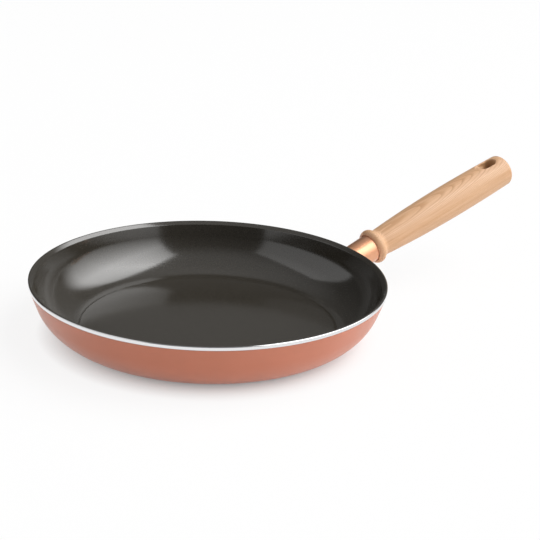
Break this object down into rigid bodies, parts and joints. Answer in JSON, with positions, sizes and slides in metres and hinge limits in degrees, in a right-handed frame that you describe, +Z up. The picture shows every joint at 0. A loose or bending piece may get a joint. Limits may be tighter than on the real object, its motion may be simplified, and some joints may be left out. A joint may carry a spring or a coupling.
{
  "type": "nonstick frying pan",
  "caption": "Round frying pan with a dark nonstick inside, a terracotta outside, a bare metal rim band and a turned wooden handle with a hanging hole.",
  "frame": {"origin": "centre of the base's flat underside, on the axis of the round pan", "axes": "+X along the handle as seen from above, +Z up out of the pan's mouth, +Y to the left of the handle seen from the pan"},
  "size_m": [0.4723, 0.28, 0.0979],
  "materials": {
    "body_aluminium": "turned, satin bright",
    "nonstick_ceramic": "satin with fine mineral sparkle",
    "terracotta_enamel": "satin",
    "plate_steel": "turned satin",
    "boss_aluminium": "as machined",
    "insert_brass": "machined",
    "ferrule_copper": "polished, copper plated",
    "washer_silicone": "matte",
    "handle_beech": "smooth, oiled",
    "zinc_steel": "zinc plated"
  },
  "bodies": {
    "root": {"pan_body": "body_aluminium", "nonstick_coating": "nonstick_ceramic", "outer_enamel": "terracotta_enamel", "induction_plate": "plate_steel", "handle_boss": "boss_aluminium", "threaded_insert": "insert_brass", "ferrule": "ferrule_copper", "heat_washer": "washer_silicone", "wood_handle": "handle_beech", "flat_washer": "zinc_steel", "lock_washer": "zinc_steel", "handle_screw": "zinc_steel"}
  },
  "joints": []
}
